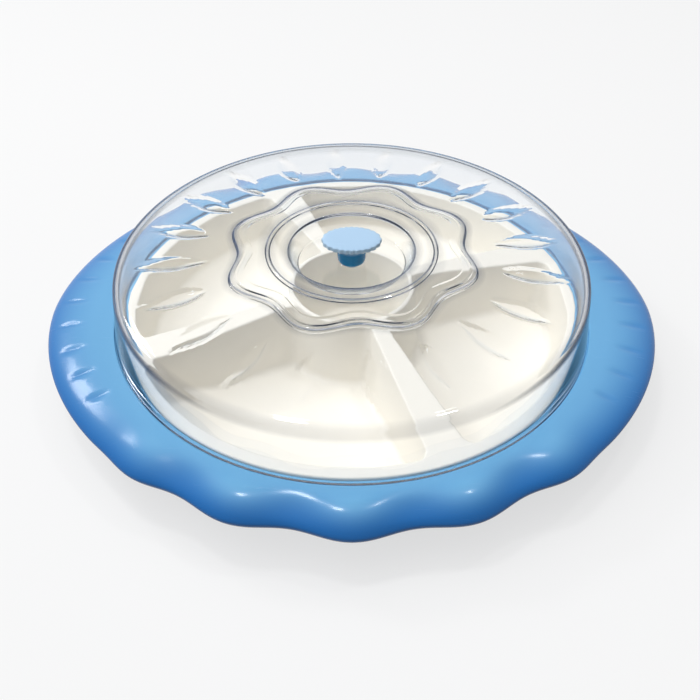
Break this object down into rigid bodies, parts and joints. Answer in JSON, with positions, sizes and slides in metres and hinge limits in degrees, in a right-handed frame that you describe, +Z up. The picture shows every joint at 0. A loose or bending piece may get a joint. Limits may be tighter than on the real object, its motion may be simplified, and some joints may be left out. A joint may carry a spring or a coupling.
{
  "type": "dried fruit box",
  "caption": "Round lidded serving tray with side ears and scalloped brim, lift-out divided insert with a centre cup, and a clear domed lid with an oval knob.",
  "frame": {"origin": "middle of the tray's foot, on the surface that the box stands on", "axes": "+Z up; the two ears point along +X and -X; the front of the box faces -Y"},
  "size_m": [0.3588, 0.3286, 0.0826],
  "materials": {
    "blue_plastic": "glossy moulded blue plastic",
    "warm_white_plastic": "satin warm white moulded plastic",
    "clear_plastic": "clear polished moulded plastic",
    "light_blue_plastic": "satin light blue moulded plastic",
    "bright_steel": "plain bright steel"
  },
  "bodies": {
    "tray": {"serving_tray": "blue_plastic"},
    "insert": {"compartment_insert": "warm_white_plastic"},
    "lid": {"lid": "clear_plastic", "knob": "light_blue_plastic", "knob_screw": "bright_steel", "knob_washer": "bright_steel"}
  },
  "joints": [
    {"name": "insert_lift", "type": "slide", "parent": "tray", "child": "insert", "axis": [0, 0, 1], "range_m": [0, 0.12]},
    {"name": "lid_lift", "type": "slide", "parent": "insert", "child": "lid", "axis": [0, 0, 1], "range_m": [0, 0.15]}
  ]
}
